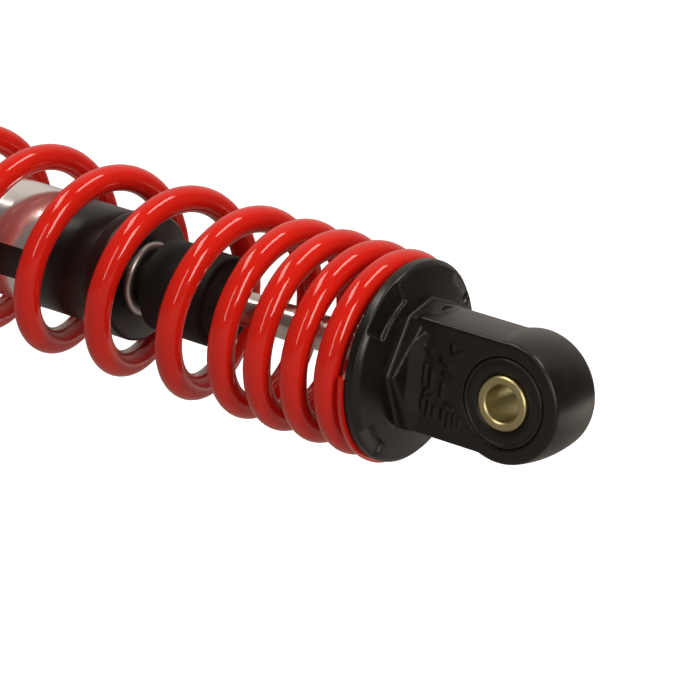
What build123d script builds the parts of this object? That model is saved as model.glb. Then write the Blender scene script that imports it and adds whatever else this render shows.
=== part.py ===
from build123d import *
import os
from math import cos, pi, sin, tan

# Rear shock absorber: a twin-tube damper inside a coil spring, with a rubber-bushed eye at each end.
# Millimetres. +X runs along the shock from the body eye (origin) to the rod eye, and both bores lie
# along Y. "body" parts belong to the damper body, "rod" parts to the piston rod that slides in it.

# ---- driving dimensions -----------------------------------------------------------------------
EYE_TO_EYE = 330.0        # bolt centre to bolt centre, fully extended
STROKE = 50.0             # compression travel

# eyes and bushes
EYE_OD = 32.9             # at its two faces
EYE_BELLY = 0.9           # how much the radius grows to the parting line in the middle
EYE_WIDTH = 19.6
EYE_EDGE_ROUND = 1.0
BUSH_CREST = 0.2          # how far the rubber's domed face stands out of the eye
BUSH_EDGE_SINK = 0.7      # how far its edge lies below the eye's face
BUSH_OD = 24.6
SLEEVE_OD = 14.8
SLEEVE_BORE = 10.2
SLEEVE_LENGTH = 21.0
SLEEVE_CHAMFER = 0.4

# rod-end casting: spring seat flange, hexagonal foot and neck
SEAT_TO_EYE = 38.0        # spring seat face to bolt centre
FLANGE_OD = 56.0
FLANGE_RIM = 2.8          # straight part of the rim
FLANGE_BEVEL = 1.3        # bevel on the outer edge of the rim
FLANGE_RISE = 2.0         # how far the face rises from the bevel to the foot
FOOT_CORNER_Y = 17.2      # hexagonal foot: the corners on Y
FOOT_SHOULDER_Y = 9.3     # its other four corners
FOOT_SHOULDER_Z = 15.7
FOOT_RIDGE_Z = 18.8       # its flats rise to the parting line
FOOT_DRAFT = 0.6
FOOT_RIDGE_HEIGHT = 5.4   # its top slopes from the parting line down to the corners on Y
FOOT_SHOULDER_HEIGHT = 4.6
FOOT_CORNER_HEIGHT = 2.0
NECK_TOP = 16.3           # neck: near-side height above and below the bore's axis
NECK_BOTTOM = 15.3
NECK_CROWN = 0.5          # rise to the parting line
NECK_FAR_DROP = 0.6
NECK_NEAR_ROUND = 0.6
NECK_FAR_ROUND = 3.5
ROOT_FLARE = 1.7          # the neck's flare where it leaves the foot
FLARE_SHARE = 0.97        # the flare stays within this share of the foot's width
FLARE_INSET = 0.4         # and this far inside the neck's roof and floor
SPIGOT_LENGTH = 4.0       # locates the spring's inside
SPIGOT_CLEARANCE = 0.5
LARGE_POCKET_R = 21.7     # shallow pockets in the flange face, open at the rim
SMALL_POCKET_R = 23.5
POCKET_DEPTH = 1.2
LARGE_POCKET_ARC = 35.0   # degrees
SMALL_POCKET_ARC = 25.0
LARGE_POCKET_AT = 134.5   # degrees from +Y towards +Z, with a twin opposite
SMALL_POCKET_AT = 225.5
THREAD_DEPTH = 17.0

# body-end casting and spring seat
CUP_OD = 42.0
CUP_CHAMFER = 2.0
CUP_FLOOR = 5.0
CUP_FLOOR_AT = 27.0       # inside of the cup's floor, from the bolt centre
SOCKET_DEPTH = 13.0
SEAT_RING_THICKNESS = 4.0
SEAT_RING_SPIGOT = 5.0
SEAT_CHAMFER = 1.0

# spring
SPRING_OD = 58.0
WIRE_D = 7.5
SPRING_TURNS = 13.4
CLOSE_PITCH = 12.0        # progressive turns beside the rod end
END_GAP = 0.1             # gap between the closed end turns
END_TURNS = 0.9
CLOSE_FROM = 1.5          # turns from the rod end where each pitch begins
CLOSE_TO = 3.9
WIDE_FROM = 5.35
BODY_END_RAMP = 0.7       # turns that close the pitch at the body end
TIP_OVERRUN = 0.8         # how far the ends of the wire are ground past their centreline
POINTS_PER_TURN = 12      # points on the wire's centreline

# damper body
TUBE_OD = 33.6
TUBE_WALL = 1.8
CYLINDER_BORE = 22.0
CYLINDER_WALL = 1.5
CAP_OD = 36.4
CAP_LENGTH = 9.6
CAP_LIP = 0.4             # the skirt's edge: this thick and long, before its cone
CAP_CONE = 4.0
CAP_WALL = 1.5
CAP_CHAMFER = 0.8
RETAINER_OD = 21.6
RETAINER_LENGTH = 1.5
WIPER_OD = 15.0
WIPER_SINK = 0.3         # how far the wiper lies behind the retainer's face
WIPER_LIP = 0.8          # its lip and its waist stand this far from each other
GUIDE_LENGTH = 17.5
GUIDE_SPIGOT = 6.0
GUIDE_BUSH_LENGTH = 15.0
GUIDE_BUSH_WALL = 0.95
GUIDE_BUSH_SINK = 0.5     # bush end to the guide's nose
GUIDE_LEDGE = 1.5         # behind the seal
GUIDE_DRAIN_D = 2.0
GUIDE_DRAINS = 3
GUIDE_DRAIN_DEPTH = 3.0
SEAL_OD = 25.9
SEAL_LENGTH = 5.8
SEAL_POCKET = 6.0
GARTER_AT = 1.6           # seal floor to the lip spring
GARTER_WIRE_D = 1.2
GARTER_STANDOFF = 2.3     # wire centre to the lip's edge
SEAL_RIM_WALL = 1.8
SEAL_WEB = 3.8            # seal floor to the web between rim and lip
SEAL_PROFILE = [          # the lip: (from the seal's floor, out from the rod), dust side first
    (SEAL_LENGTH, 1.2), (3.4, 0.6), (GARTER_AT, 0), (1.0, 0), (0.6, 0.6), (0.6, 1.5), (2.6, 1.8),
    (SEAL_WEB, 3.4)]
O_RING_SECTION = 1.5
O_RING_AT = 6.0           # from the guide's outer face
FOIL_LENGTH = 60.0
FOIL_THICKNESS = 0.12
FOIL_FROM_CAP = 31.0      # cap face to the foil's near edge
FOIL_GAP = 9.6            # bare strip left where the foil's ends don't meet
FOIL_GAP_AT = 185.0       # degrees from +Y towards +Z

# bump stop
BUMP_OD = 26.2
BUMP_LENGTH = 21.0
BUMP_NOSE_OD = 17.0
BUMP_NOSE_LENGTH = 5.5
BUMP_ROUND = 1.5
BUMP_LEFT_OVER = 5.0      # free gap that is left at the end of the stroke

# piston rod and piston
ROD_D = 10.0
ROD_TIP_D = 8.0
PISTON_LENGTH = 10.0
PISTON_BAND_WIDTH = 6.0
PISTON_BAND_THICKNESS = 0.8
PISTON_HOLE_D = 2.4
PISTON_HOLES = 6
PISTON_GAP = 0.3          # piston to the cylinder, where the band doesn't fill it
SHIM_THICKNESS = 0.3
SHIMS = 3
SHIM_STEP = 1.2           # each shim is this much smaller in radius
CHECK_SHIM_OD = 19.0
REBOUND_SHIM_OD = 17.6
WASHER_OD = 14.0
WASHER_THICKNESS = 1.0
PISTON_NUT_FLATS = 13.0
PISTON_NUT_LENGTH = 6.5
LOCK_NUT_FLATS = 17.0
LOCK_NUT_LENGTH = 5.0
LOCK_NUT_SINK = 0.4       # its face lies this far inside the spigot
LOCK_NUT_ROOM = 0.7       # radial room round its corners
STOP_COLLAR_OD = 14.0
STOP_COLLAR_LENGTH = 3.0
STOP_COLLAR_AT = 1.9      # rod shoulder to the collar
CUSHION_OD = 17.0
CUSHION_LENGTH = 6.0
CUSHION_BEVEL = 1.0
CUSHION_GAP = 0.5         # to the rod guide when fully extended
THREAD_CHAMFER = 1.0      # on the end in the rod eye
TIP_CHAMFER = 0.8         # on the end in the piston nut
TIP_STANDOUT = 1.5        # rod tip beyond the piston nut
THREAD_RUN_OUT = 2.0      # blind hole beyond the rod's end

# foot valve
FOOT_FLANGE = 3.0
FOOT_BODY = 6.0
FOOT_SPIGOT = 5.0
FOOT_HOLE_D = 2.4
FOOT_HOLES = 6
FOOT_HOLE_CIRCLE = 14.0
FOOT_SLOT_WIDTH = 4.0
FOOT_PLATE_OD = 19.0
FOOT_PLATE_THICKNESS = 0.6
FOOT_SPRING_HEIGHT = 1.3
FOOT_SPRING_THICKNESS = 0.3
FOOT_SPRING_LAND = 0.8    # flat ring at its top
FOOT_SPRING_MARGIN = 1.0  # plate edge to its lower edge
RIVET_D = 4.0
RIVET_HEAD_D = 8.0
RIVET_HEAD = 1.5
RIVET_SINK = 1.0          # rivet foot to the underside of the foot valve

# fits (radial)
SLIDE_FIT = 0.05          # sliding and turning fits
STATIC_FIT = 0.02         # parts that are pressed or screwed together
SOFT_FIT = 0.3            # rubber around the rod

# ---- places along the shock ---------------------------------------------------------------------
ROD_SEAT_X = EYE_TO_EYE - SEAT_TO_EYE
SPIGOT_X = ROD_SEAT_X - SPIGOT_LENGTH
BUMP_FRONT_X = SPIGOT_X - STROKE - BUMP_LEFT_OVER
BUMP_BACK_X = BUMP_FRONT_X - BUMP_LENGTH
RETAINER_FRONT_X = BUMP_BACK_X - BUMP_NOSE_LENGTH
CAP_FACE_X = RETAINER_FRONT_X - RETAINER_LENGTH
TUBE_END_X = CAP_FACE_X - CAP_WALL
GUIDE_BACK_X = TUBE_END_X - GUIDE_LENGTH
GUIDE_NOSE_X = GUIDE_BACK_X - GUIDE_SPIGOT
SEAL_FLOOR_X = TUBE_END_X - SEAL_POCKET
TUBE_START_X = CUP_FLOOR_AT
CUP_RIM_X = CUP_FLOOR_AT + SOCKET_DEPTH
BODY_SEAT_X = CUP_RIM_X + SEAT_RING_THICKNESS
FOOT_BODY_X = TUBE_START_X + FOOT_FLANGE
CYLINDER_START_X = FOOT_BODY_X + FOOT_BODY
FOOT_TOP_X = CYLINDER_START_X + FOOT_SPIGOT
CUSHION_FRONT_X = GUIDE_NOSE_X - CUSHION_GAP
COLLAR_FRONT_X = CUSHION_FRONT_X - CUSHION_LENGTH
COLLAR_BACK_X = COLLAR_FRONT_X - STOP_COLLAR_LENGTH
SHOULDER_X = COLLAR_BACK_X - STOP_COLLAR_AT
CHECK_SHIM_X = SHOULDER_X - WASHER_THICKNESS
PISTON_FRONT_X = CHECK_SHIM_X - SHIMS * SHIM_THICKNESS
PISTON_BACK_X = PISTON_FRONT_X - PISTON_LENGTH
REBOUND_SHIM_X = PISTON_BACK_X - SHIMS * SHIM_THICKNESS
NUT_FACE_X = REBOUND_SHIM_X - WASHER_THICKNESS
ROD_TIP_X = NUT_FACE_X - PISTON_NUT_LENGTH - TIP_STANDOUT
ROD_END_X = ROD_SEAT_X + THREAD_DEPTH
THREAD_FLOOR_X = ROD_END_X + THREAD_RUN_OUT
LOCK_NUT_FLOOR_X = SPIGOT_X + LOCK_NUT_LENGTH + LOCK_NUT_SINK

EYE_R = EYE_OD / 2
ROD_R = ROD_D / 2
TUBE_R = TUBE_OD / 2
TUBE_BORE_R = TUBE_R - TUBE_WALL
CYLINDER_R = CYLINDER_BORE / 2
SPRING_R = (SPRING_OD - WIRE_D) / 2
SPRING_BORE_R = SPRING_R - WIRE_D / 2
FLANGE_R = FLANGE_OD / 2


# ---- building blocks ----------------------------------------------------------------------------
def turned(*outline):
    """A solid of revolution about the X axis from (x, radius) points."""
    return revolve(make_face(Polyline(*outline, close=True)), axis=Axis.X)


def ring(x0, x1, outer_r, inner_r):
    return turned((x0, inner_r), (x1, inner_r), (x1, outer_r), (x0, outer_r))


def rod_along_x(x0, x1, r, y=0.0, z=0.0):
    return Pos((x0 + x1) / 2, y, z) * Rot(0, 90, 0) * Cylinder(r, x1 - x0)


def rod_along_y(x, r, length):
    return Pos(x, 0, 0) * Rot(90, 0, 0) * Cylinder(r, length)


def across_x(x):
    """A drawing plane across the shock at x, with its own x along +Y and its y along +Z."""
    return Plane(origin=(x, 0, 0), x_dir=(0, 1, 0), z_dir=(1, 0, 0))


def hexagon_prism(x0, x1, corner_r):
    return extrude(across_x(x0) * RegularPolygon(corner_r, 6), amount=x1 - x0)


def hex_nut(x0, x1, flats, bore_r):
    corner_r = flats / 2 / cos(pi / 6)
    blank = hexagon_prism(x0, x1, corner_r)
    bevel = corner_r - flats / 2
    crown = turned((x0, 0), (x1, 0), (x1, flats / 2), (x1 - bevel * tan(pi / 6), corner_r), (x0, corner_r))
    return (blank & crown) - rod_along_x(x0, x1, bore_r)


def holes_on_circle(x0, x1, circle_r, hole_r, count):
    angles = [2 * pi * i / count for i in range(count)]
    return [rod_along_x(x0, x1, hole_r, circle_r * cos(a), circle_r * sin(a)) for a in angles]


# ---- eyes, bushes and castings --------------------------------------------------------------------
def four_ways(y, z):
    """The four mirror images of a point across the shock, in order round the axis."""
    return [(-y, z), (y, z), (y, -z), (-y, -z)]


def foot_outline(x, corner_y, ridge_z):
    upper_left, upper_right, lower_right, lower_left = four_ways(FOOT_SHOULDER_Y, FOOT_SHOULDER_Z)
    outline = Polyline((-corner_y, 0), upper_left, (0, ridge_z), upper_right, (corner_y, 0), lower_right,
                       (0, -ridge_z), lower_left, close=True)
    return across_x(x) * make_face(outline)


def hexagonal_foot(base):
    """The foot under the neck, with its base at -base. Its faces slope away from the parting line."""
    top = FOOT_RIDGE_HEIGHT - base
    block = loft([foot_outline(-base, FOOT_CORNER_Y, FOOT_RIDGE_Z),
                  foot_outline(top, FOOT_CORNER_Y - FOOT_DRAFT, FOOT_RIDGE_Z - FOOT_DRAFT)], ruled=True)
    shoulder, corner = FOOT_SHOULDER_HEIGHT - base, FOOT_CORNER_HEIGHT - base
    roof = Polyline((-base, -FOOT_CORNER_Y), (corner, -FOOT_CORNER_Y),
                    (shoulder, -FOOT_SHOULDER_Y), (top, 0), (shoulder, FOOT_SHOULDER_Y),
                    (corner, FOOT_CORNER_Y), (-base, FOOT_CORNER_Y), close=True)
    return block & extrude(make_face(roof), amount=FOOT_RIDGE_Z, both=True)


def neck_outline(x, flare, inset):
    """The neck across x: crisp on the near side of the die, generously rounded on the far side."""
    side, top, bottom = EYE_WIDTH / 2 + flare, NECK_TOP - inset, inset - NECK_BOTTOM
    roof = ThreePointArc((-side, top), (0, top + NECK_CROWN), (side, top - NECK_FAR_DROP))
    floor = ThreePointArc((side, bottom + NECK_FAR_DROP), (0, bottom - NECK_CROWN), (-side, bottom))
    face = make_face(roof + Line(roof @ 1, floor @ 0) + floor + Line(floor @ 1, roof @ 0))
    face = fillet(face.vertices().sort_by(Axis.X)[:2], NECK_NEAR_ROUND)
    return across_x(x) * fillet(face.vertices().sort_by(Axis.X)[-2:], NECK_FAR_ROUND)


def eye_head(base):
    """The eye at the origin, its neck towards -X and the hexagonal foot whose base is at -base."""
    half, middle_r = EYE_WIDTH / 2, EYE_R + EYE_BELLY
    belly = ThreePointArc((EYE_R, -half), (middle_r, 0), (EYE_R, half))
    back = Polyline(belly @ 1, (0, half), (0, -half), belly @ 0)
    eye = revolve(make_face(belly + back), axis=Axis.Y)
    eye = fillet(eye.edges().filter_by(GeomType.CIRCLE).group_by(Axis.Y)[0], EYE_EDGE_ROUND)
    eye = fillet(eye.edges().filter_by(GeomType.CIRCLE).group_by(Axis.Y)[-1], EYE_EDGE_ROUND)
    root = FOOT_SHOULDER_HEIGHT - base
    neck = extrude(neck_outline(root - 1, 0, 0), amount=1 - root)
    wide = neck_outline(root - 1, ROOT_FLARE + 1, FLARE_INSET)
    flare = loft([wide, neck_outline(root + ROOT_FLARE + 1, -1, FLARE_INSET)], ruled=True)
    within = extrude(foot_outline(root - 1, FOOT_CORNER_Y, FOOT_RIDGE_Z), amount=ROOT_FLARE + 3)
    flare &= scale(within, by=(1, FLARE_SHARE, FLARE_SHARE))
    head = hexagonal_foot(base) + neck + flare + eye
    return head - rod_along_y(0, BUSH_OD / 2, EYE_WIDTH + 1)


def eye_bush(x):
    """Rubber ring between the casting and the sleeve, domed on both faces."""
    inner_r, outer_r = SLEEVE_OD / 2 + SLIDE_FIT, BUSH_OD / 2 - STATIC_FIT
    crest_r = (inner_r + outer_r) / 2
    edge_y, crest_y = EYE_WIDTH / 2 - BUSH_EDGE_SINK, EYE_WIDTH / 2 + BUSH_CREST
    dome = ThreePointArc((inner_r, edge_y), (crest_r, crest_y), (outer_r, edge_y))
    foot = ThreePointArc((outer_r, -edge_y), (crest_r, -crest_y), (inner_r, -edge_y))
    outline = dome + Line(dome @ 1, foot @ 0) + foot + Line(foot @ 1, dome @ 0)
    return Pos(x, 0, 0) * revolve(make_face(outline), axis=Axis.Y)


def eye_sleeve(x):
    sleeve = rod_along_y(x, SLEEVE_OD / 2, SLEEVE_LENGTH) - rod_along_y(x, SLEEVE_BORE / 2, SLEEVE_LENGTH)
    ends = sleeve.faces().sort_by(Axis.Y)
    return chamfer(ends[0].edges() + ends[-1].edges(), SLEEVE_CHAMFER)


def rim_pocket(centre_angle, arc, inner_r, flange_face):
    """A shallow pocket from inner_r out through the rim, centred on an angle from +Y towards +Z."""
    outer_r = FLANGE_R + 1
    floor_x, rim_floor_x = flange_face(inner_r) - POCKET_DEPTH, flange_face(outer_r) - POCKET_DEPTH / 2
    section = Polyline((floor_x, inner_r), (flange_face(0), inner_r), (flange_face(0), outer_r),
                       (rim_floor_x, outer_r), close=True)
    pocket = revolve(make_face(section), axis=Axis.X, revolution_arc=arc)
    return Rot(centre_angle - arc / 2, 0, 0) * pocket


def rod_eye():
    """One casting: spring seat flange with its spigot, hexagonal foot, neck and eye."""
    rim_x = ROD_SEAT_X + FLANGE_RIM
    bevel_r, bevel_x = FLANGE_R - FLANGE_BEVEL, rim_x + FLANGE_BEVEL
    foot_x = bevel_x + FLANGE_RISE
    spigot_r = SPRING_BORE_R - SPIGOT_CLEARANCE
    flange = turned((SPIGOT_X, 0), (SPIGOT_X, spigot_r - SEAT_CHAMFER),
                    (SPIGOT_X + SEAT_CHAMFER, spigot_r), (ROD_SEAT_X, spigot_r), (ROD_SEAT_X, FLANGE_R),
                    (rim_x, FLANGE_R), (bevel_x, bevel_r), (foot_x, FOOT_RIDGE_Z), (foot_x, 0))

    def flange_face(r):
        return foot_x - FLANGE_RISE * max(0, r - FOOT_RIDGE_Z) / (bevel_r - FOOT_RIDGE_Z)

    pockets = [(LARGE_POCKET_AT, LARGE_POCKET_ARC, LARGE_POCKET_R),
               (SMALL_POCKET_AT, SMALL_POCKET_ARC, SMALL_POCKET_R)]
    for centre_angle, arc, inner_r in pockets:
        flange -= rim_pocket(centre_angle, arc, inner_r, flange_face)
        flange -= rim_pocket(centre_angle + 180, arc, inner_r, flange_face)
    casting = flange + Pos(EYE_TO_EYE, 0, 0) * eye_head(EYE_TO_EYE - foot_x)
    nut_room = LOCK_NUT_FLATS / 2 / cos(pi / 6) + LOCK_NUT_ROOM
    casting -= rod_along_x(SPIGOT_X, LOCK_NUT_FLOOR_X, nut_room)
    return casting - rod_along_x(SPIGOT_X, THREAD_FLOOR_X, ROD_R + STATIC_FIT)


def body_eye():
    """One casting: eye, neck, hexagonal foot and the cup that the damper body screws into."""
    back_x = CUP_FLOOR_AT - CUP_FLOOR
    cup = turned((back_x, 0), (CUP_FLOOR_AT, 0), (CUP_FLOOR_AT, TUBE_R + STATIC_FIT),
                 (CUP_RIM_X, TUBE_R + STATIC_FIT), (CUP_RIM_X, CUP_OD / 2),
                 (back_x + CUP_CHAMFER, CUP_OD / 2), (back_x, CUP_OD / 2 - CUP_CHAMFER))
    return cup + Rot(0, 0, 180) * eye_head(back_x)


def body_spring_seat():
    tube_r = TUBE_R + STATIC_FIT
    spigot_r = SPRING_BORE_R - SPIGOT_CLEARANCE
    top_x = BODY_SEAT_X + SEAT_RING_SPIGOT
    return turned((CUP_RIM_X, tube_r), (top_x, tube_r), (top_x, spigot_r - SEAT_CHAMFER),
                  (top_x - SEAT_CHAMFER, spigot_r), (BODY_SEAT_X, spigot_r), (BODY_SEAT_X, FLANGE_R),
                  (CUP_RIM_X + SEAT_CHAMFER, FLANGE_R), (CUP_RIM_X, FLANGE_R - SEAT_CHAMFER))


# ---- spring -------------------------------------------------------------------------------------
def ramp_length(turns, pitch_a, pitch_b):
    return turns * (pitch_a + pitch_b) / 2


def wide_pitch():
    """The open pitch that makes the wound length fill the room between the two seats."""
    end_pitch = WIRE_D + END_GAP
    wound = ROD_SEAT_X - BODY_SEAT_X + 2 * TIP_OVERRUN
    fixed = 2 * END_TURNS * end_pitch
    fixed += ramp_length(CLOSE_FROM - END_TURNS, end_pitch, CLOSE_PITCH)
    fixed += (CLOSE_TO - CLOSE_FROM) * CLOSE_PITCH
    fixed += ramp_length(WIDE_FROM - CLOSE_TO, CLOSE_PITCH, 0)
    fixed += ramp_length(BODY_END_RAMP, end_pitch, 0)
    open_turns = SPRING_TURNS - WIDE_FROM - BODY_END_RAMP - END_TURNS
    return (wound - fixed) / (open_turns + (WIDE_FROM - CLOSE_TO + BODY_END_RAMP) / 2)


def pitch_stations():
    """(turns from the rod end, pitch there), with straight-line changes between them."""
    end_pitch, wide = WIRE_D + END_GAP, wide_pitch()
    return [(0, end_pitch), (END_TURNS, end_pitch), (CLOSE_FROM, CLOSE_PITCH), (CLOSE_TO, CLOSE_PITCH),
            (WIDE_FROM, wide), (SPRING_TURNS - END_TURNS - BODY_END_RAMP, wide),
            (SPRING_TURNS - END_TURNS, end_pitch), (SPRING_TURNS, end_pitch)]


def advance(turn):
    """Distance along the axis from the rod-end tip, and the pitch, after so many turns."""
    distance = 0.0
    stations = pitch_stations()
    for (t0, p0), (t1, p1) in zip(stations, stations[1:]):
        if turn <= t1:
            pitch = p0 + (p1 - p0) * (turn - t0) / (t1 - t0)
            return distance + (turn - t0) * (p0 + pitch) / 2, pitch
        distance += (t1 - t0) * (p0 + p1) / 2
    return distance, stations[-1][1]


def wire_point(turn):
    angle = 2 * pi * turn
    x = ROD_SEAT_X + TIP_OVERRUN - advance(turn)[0]
    return Vector(x, -SPRING_R * cos(angle), -SPRING_R * sin(angle))


def coil_spring():
    """Left-handed wire with closed ends that are ground flat, tight turns beside the rod end."""
    steps = int(SPRING_TURNS * POINTS_PER_TURN)
    path = Spline(*[wire_point(SPRING_TURNS * i / steps) for i in range(steps + 1)])
    section = Plane(origin=path @ 0, z_dir=path % 0) * Circle(WIRE_D / 2)
    coil = sweep(section, path=path, is_frenet=True)
    return coil & rod_along_x(BODY_SEAT_X, ROD_SEAT_X, SPRING_OD)


# ---- damper body --------------------------------------------------------------------------------
def body_tube():
    return ring(TUBE_START_X, TUBE_END_X, TUBE_R, TUBE_BORE_R)


def pressure_tube():
    return ring(CYLINDER_START_X, GUIDE_BACK_X, CYLINDER_R + CYLINDER_WALL, CYLINDER_R)


def label_foil():
    """Thin foil wrapped round the tube, open along a narrow strip."""
    far_x, inner_r = CAP_FACE_X - FOIL_FROM_CAP, TUBE_R + STATIC_FIT
    foil = ring(far_x - FOIL_LENGTH, far_x, inner_r + FOIL_THICKNESS, inner_r)
    strip = Pos(far_x - FOIL_LENGTH / 2, TUBE_R, 0) * Box(FOIL_LENGTH + 1, TUBE_R, FOIL_GAP)
    return foil - Rot(FOIL_GAP_AT, 0, 0) * strip


def foot_valve_body():
    flange_r, waist_r = TUBE_BORE_R - SLIDE_FIT, CYLINDER_R + CYLINDER_WALL
    spigot_r = CYLINDER_R - STATIC_FIT
    body = turned((TUBE_START_X, 0), (TUBE_START_X, flange_r), (FOOT_BODY_X, flange_r),
                  (FOOT_BODY_X, waist_r), (CYLINDER_START_X, waist_r), (CYLINDER_START_X, spigot_r),
                  (FOOT_TOP_X, spigot_r), (FOOT_TOP_X, 0))
    circle_r, hole_r = FOOT_HOLE_CIRCLE / 2, FOOT_HOLE_D / 2
    body -= holes_on_circle(TUBE_START_X, FOOT_TOP_X, circle_r, hole_r, FOOT_HOLES)
    body -= rod_along_x(TUBE_START_X, FOOT_TOP_X, RIVET_D / 2)
    slot = Pos(TUBE_START_X, 0, 0) * Box(2, TUBE_OD, FOOT_SLOT_WIDTH)
    return body - slot - Rot(90, 0, 0) * slot


def foot_valve_plate():
    top_x = FOOT_TOP_X + FOOT_PLATE_THICKNESS
    return ring(FOOT_TOP_X, top_x, FOOT_PLATE_OD / 2, RIVET_D / 2 + SLIDE_FIT)


def foot_valve_spring():
    """Coned spring washer that holds the check plate down."""
    low_x = FOOT_TOP_X + FOOT_PLATE_THICKNESS
    top_x = low_x + FOOT_SPRING_HEIGHT
    outer_r, inner_r = FOOT_PLATE_OD / 2 - FOOT_SPRING_MARGIN, RIVET_D / 2 + SLIDE_FIT
    land_r = inner_r + FOOT_SPRING_LAND
    return turned((low_x, outer_r), (low_x + FOOT_SPRING_THICKNESS, outer_r), (top_x, land_r),
                  (top_x, inner_r), (top_x - FOOT_SPRING_THICKNESS, inner_r),
                  (top_x - FOOT_SPRING_THICKNESS, land_r))


def foot_valve_rivet():
    shank_r, head_r, start_x = RIVET_D / 2, RIVET_HEAD_D / 2, TUBE_START_X + RIVET_SINK
    head_x = FOOT_TOP_X + FOOT_PLATE_THICKNESS + FOOT_SPRING_HEIGHT
    top_x, crown = head_x + RIVET_HEAD, RIVET_HEAD / 2
    return turned((start_x, 0), (start_x, shank_r), (head_x, shank_r), (head_x, head_r),
                  (top_x - crown, head_r), (top_x, head_r - crown), (top_x, 0))


def rod_guide():
    outer_r, nose_r = TUBE_BORE_R - SLIDE_FIT, CYLINDER_R - STATIC_FIT
    bush_r, rod_hole_r = ROD_R + SLIDE_FIT + GUIDE_BUSH_WALL, ROD_R + SOFT_FIT
    seal_r, ledge_x = SEAL_OD / 2 + STATIC_FIT, SEAL_FLOOR_X - GUIDE_LEDGE
    guide = turned((GUIDE_NOSE_X, bush_r), (GUIDE_NOSE_X, nose_r), (GUIDE_BACK_X, nose_r),
                   (GUIDE_BACK_X, outer_r), (TUBE_END_X, outer_r), (TUBE_END_X, seal_r),
                   (SEAL_FLOOR_X, seal_r), (SEAL_FLOOR_X, rod_hole_r), (ledge_x, rod_hole_r),
                   (ledge_x, bush_r))
    groove_x = TUBE_END_X - O_RING_AT
    half_width = O_RING_SECTION / 2 + SLIDE_FIT
    guide -= ring(groove_x - half_width, groove_x + half_width, outer_r + 1, outer_r - O_RING_SECTION)
    drain_circle_r = outer_r - GUIDE_DRAIN_D
    drain_end_x = GUIDE_BACK_X + GUIDE_DRAIN_DEPTH
    drain_r = GUIDE_DRAIN_D / 2
    return guide - holes_on_circle(GUIDE_BACK_X, drain_end_x, drain_circle_r, drain_r, GUIDE_DRAINS)


def guide_o_ring():
    centre_r = TUBE_BORE_R - SLIDE_FIT - O_RING_SECTION / 2
    cord = Torus(centre_r, O_RING_SECTION / 2 - STATIC_FIT)
    return Pos(TUBE_END_X - O_RING_AT, 0, 0) * Rot(0, 90, 0) * cord


def rod_guide_bush():
    start_x, bore_r = GUIDE_NOSE_X + GUIDE_BUSH_SINK, ROD_R + SLIDE_FIT
    return ring(start_x, start_x + GUIDE_BUSH_LENGTH, bore_r + GUIDE_BUSH_WALL, bore_r)


def oil_seal():
    """Rubber-covered ring with a lip on the rod that points into the damper."""
    rim_r, lip_r = SEAL_OD / 2, ROD_R + SLIDE_FIT
    outline = [(0, rim_r), (SEAL_LENGTH, rim_r)]
    outline += [(along, lip_r + out) for along, out in SEAL_PROFILE]
    outline += [(SEAL_WEB, rim_r - SEAL_RIM_WALL), (0, rim_r - SEAL_RIM_WALL)]
    return Pos(SEAL_FLOOR_X, 0, 0) * turned(*outline)


def seal_garter_spring():
    """Tiny closed spring that keeps the seal lip on the rod, as one plain ring."""
    coil = Torus(ROD_R + SLIDE_FIT + GARTER_STANDOFF, GARTER_WIRE_D / 2)
    return Pos(SEAL_FLOOR_X + GARTER_AT, 0, 0) * Rot(0, 90, 0) * coil


def end_cap():
    cap_r, skirt_x = CAP_OD / 2, CAP_FACE_X - CAP_LENGTH
    tube_r, mouth_r = TUBE_R + STATIC_FIT, WIPER_OD / 2 + STATIC_FIT
    lip_x, lip_r = skirt_x + CAP_LIP, tube_r + CAP_LIP
    return turned((skirt_x, tube_r), (TUBE_END_X, tube_r), (TUBE_END_X, mouth_r), (CAP_FACE_X, mouth_r),
                  (CAP_FACE_X, cap_r - CAP_CHAMFER), (CAP_FACE_X - CAP_CHAMFER, cap_r),
                  (lip_x + CAP_CONE, cap_r), (lip_x, lip_r), (skirt_x, lip_r))


def wiper_retainer():
    """Half-round polished ring on the cap face that holds the wiper."""
    outer_r, inner_r = RETAINER_OD / 2, WIPER_OD / 2 + STATIC_FIT
    outer, inner = (CAP_FACE_X, outer_r), (CAP_FACE_X, inner_r)
    section = ThreePointArc(outer, (RETAINER_FRONT_X, (outer_r + inner_r) / 2), inner) + Line(inner, outer)
    return revolve(make_face(section), axis=Axis.X)


def dust_wiper():
    x0, x1 = TUBE_END_X + SLIDE_FIT, RETAINER_FRONT_X - WIPER_SINK
    lip_r = ROD_R + SLIDE_FIT
    waist_r = lip_r + WIPER_LIP
    return turned((x0, WIPER_OD / 2), (x1, WIPER_OD / 2), (x1, waist_r), (x1 - WIPER_LIP / 2, lip_r),
                  (x1 - WIPER_LIP, lip_r), (x0 + WIPER_LIP, waist_r), (x0, waist_r))


def bump_stop():
    bore_r = ROD_R + SOFT_FIT
    stop = turned((RETAINER_FRONT_X, bore_r), (RETAINER_FRONT_X, BUMP_NOSE_OD / 2),
                  (BUMP_BACK_X, BUMP_NOSE_OD / 2), (BUMP_BACK_X, BUMP_OD / 2),
                  (BUMP_FRONT_X, BUMP_OD / 2), (BUMP_FRONT_X, bore_r))
    front = stop.edges().group_by(Axis.X)[-1].sort_by(SortBy.LENGTH)[-1]
    back = stop.edges().group_by(Axis.X)[1].sort_by(SortBy.LENGTH)[-1]
    return fillet([front, back], BUMP_ROUND)


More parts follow.
